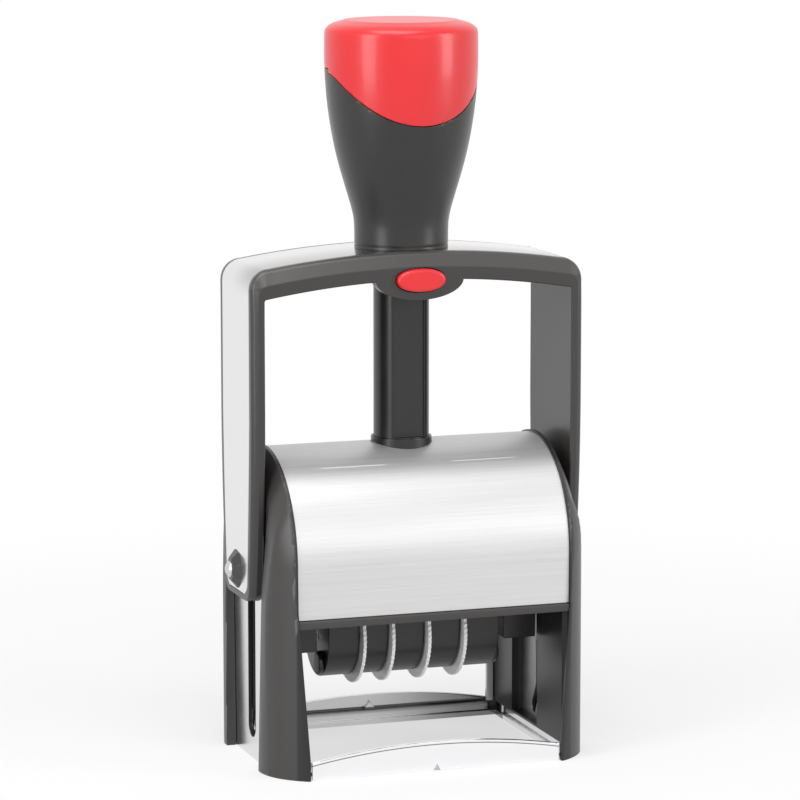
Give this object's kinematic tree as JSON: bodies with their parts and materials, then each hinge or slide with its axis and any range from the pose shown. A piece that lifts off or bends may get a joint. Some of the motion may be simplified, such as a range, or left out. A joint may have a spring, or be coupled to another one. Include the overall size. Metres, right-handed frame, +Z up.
{
  "type": "self-inking date stamp",
  "caption": "Desk date stamp pressed by a tall knob on a bow: the die carrier with turning date wheels flips down through the open base as the bow slides",
  "frame": {"origin": "on the table under the middle of the base", "axes": "+Z up along the knob, +X to the user's right, +Y to the rear; the lock button faces -Y"},
  "size_m": [0.0822, 0.0504, 0.1637],
  "materials": {
    "charcoal_plastic": "dark charcoal moulded plastic with a fine satin grain",
    "black_plastic": "near-black moulded plastic, satin",
    "red_plastic": "bright red plastic with a soft gloss",
    "chrome": "polished chrome plate",
    "bright_steel": "bright zinc-plated steel",
    "brushed_cover": "stainless sheet, fine lengthwise brushing",
    "spring_steel": "drawn spring wire",
    "die_rubber": "matt dark grey rubber",
    "band_rubber": "matt grey rubber",
    "wheel_plastic": "light grey plastic, semi-matt",
    "ink_felt": "ink-soaked black felt"
  },
  "bodies": {
    "frame": {"base_frame": "chrome", "rear_posts": "chrome", "base_screws": "bright_steel", "side_plate_left": "chrome", "side_plate_right": "chrome", "cam_plate_left": "bright_steel", "cam_plate_right": "bright_steel", "side_rivets_left": "bright_steel", "side_rivets_right": "bright_steel", "side_housing_left": "charcoal_plastic", "side_housing_right": "charcoal_plastic", "cover": "brushed_cover", "front_crossbar": "charcoal_plastic", "rear_crossbar": "charcoal_plastic", "bridge_plate": "bright_steel", "guide_column": "black_plastic", "column_collar": "charcoal_plastic", "column_screw": "bright_steel", "return_spring": "spring_steel"},
    "bow": {"bow_frame": "charcoal_plastic", "bow_band": "chrome", "grip_body": "charcoal_plastic", "grip_cap": "red_plastic", "grip_screws": "bright_steel", "axle_pin_left": "bright_steel", "axle_pin_right": "bright_steel", "axle_bush_left": "black_plastic", "axle_bush_right": "black_plastic", "button_spring": "spring_steel"},
    "button": {"lock_button": "red_plastic"},
    "tray": {"pad_tray": "charcoal_plastic", "ink_pad": "ink_felt"},
    "die": {"carrier_deck": "black_plastic", "carrier_end_left": "black_plastic", "carrier_end_right": "black_plastic", "carrier_screws": "bright_steel", "band_housing": "black_plastic", "drum_studs": "black_plastic", "text_plate": "black_plastic", "rubber_die": "die_rubber", "band_bridge": "bright_steel", "wheel_axle": "bright_steel", "date_band_1": "band_rubber", "date_band_2": "band_rubber", "date_band_3": "band_rubber", "date_band_4": "band_rubber"},
    "date_wheel_1_body": {"date_wheel_1": "wheel_plastic"},
    "date_wheel_2_body": {"date_wheel_2": "wheel_plastic"},
    "date_wheel_3_body": {"date_wheel_3": "wheel_plastic"},
    "date_wheel_4_body": {"date_wheel_4": "wheel_plastic"}
  },
  "joints": [
    {"name": "handle_press", "type": "slide", "parent": "frame", "child": "bow", "axis": [0, 0, -1], "range_m": [0, 0.0338], "stiffness_N_per_m": 300, "springref_m": -0.02, "deforming": ["return_spring"]},
    {"name": "die_flip", "type": "hinge", "parent": "bow", "child": "die", "pos_m": [0, 0, 0.0432], "axis": [1, 0, 0], "range_deg": [0, 180]},
    {"name": "lock_button_press", "type": "slide", "parent": "bow", "child": "button", "axis": [0, 1, 0], "range_m": [0, 0.002], "stiffness_N_per_m": 400, "springref_m": -0.002},
    {"name": "pad_tray_slide", "type": "slide", "parent": "frame", "child": "tray", "axis": [0, 1, 0], "range_m": [0, 0.04]},
    {"name": "date_wheel_1_turn", "type": "hinge", "parent": "die", "child": "date_wheel_1_body", "pos_m": [0, 0, 0.027], "axis": [1, 0, 0], "continuous": true},
    {"name": "date_wheel_2_turn", "type": "hinge", "parent": "die", "child": "date_wheel_2_body", "pos_m": [0, 0, 0.027], "axis": [1, 0, 0], "continuous": true},
    {"name": "date_wheel_3_turn", "type": "hinge", "parent": "die", "child": "date_wheel_3_body", "pos_m": [0, 0, 0.027], "axis": [1, 0, 0], "continuous": true},
    {"name": "date_wheel_4_turn", "type": "hinge", "parent": "die", "child": "date_wheel_4_body", "pos_m": [0, 0, 0.027], "axis": [1, 0, 0], "continuous": true}
  ],
  "couplings": [
    {"joint": "die_flip", "follows": "handle_press", "rad_per_m": 92.94}
  ]
}
